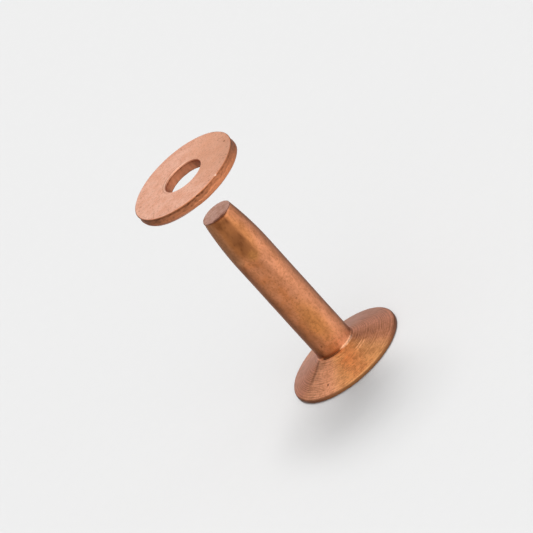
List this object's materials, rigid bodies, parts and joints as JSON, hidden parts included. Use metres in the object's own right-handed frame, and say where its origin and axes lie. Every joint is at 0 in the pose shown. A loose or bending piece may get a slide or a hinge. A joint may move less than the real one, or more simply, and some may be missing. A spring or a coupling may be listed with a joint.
{
  "type": "belt rivet with burr",
  "caption": "Solid flat-headed copper belt rivet with a tapered shank, and the loose punched burr that slides down it to clamp leather.",
  "frame": {"origin": "centre of the rivet's flat head face, which lies on the Z=0 plane", "axes": "+Z along the shank from the head to the tip and on to the burr, which waits above the tip on the same axis; X and Y are any two square directions, because both pieces are round"},
  "size_m": [0.0112, 0.0112, 0.0232],
  "materials": {
    "rivet_copper": "satin drawn and cold-headed copper, lightly browned",
    "burr_copper": "satin rolled copper sheet, fine scratches"
  },
  "bodies": {
    "rivet": {"rivet": "rivet_copper"},
    "burr": {"burr": "burr_copper"}
  },
  "joints": [
    {"name": "burr_slide", "type": "slide", "parent": "rivet", "child": "burr", "axis": [0, 0, 1], "range_m": [-0.02039, 0]}
  ]
}
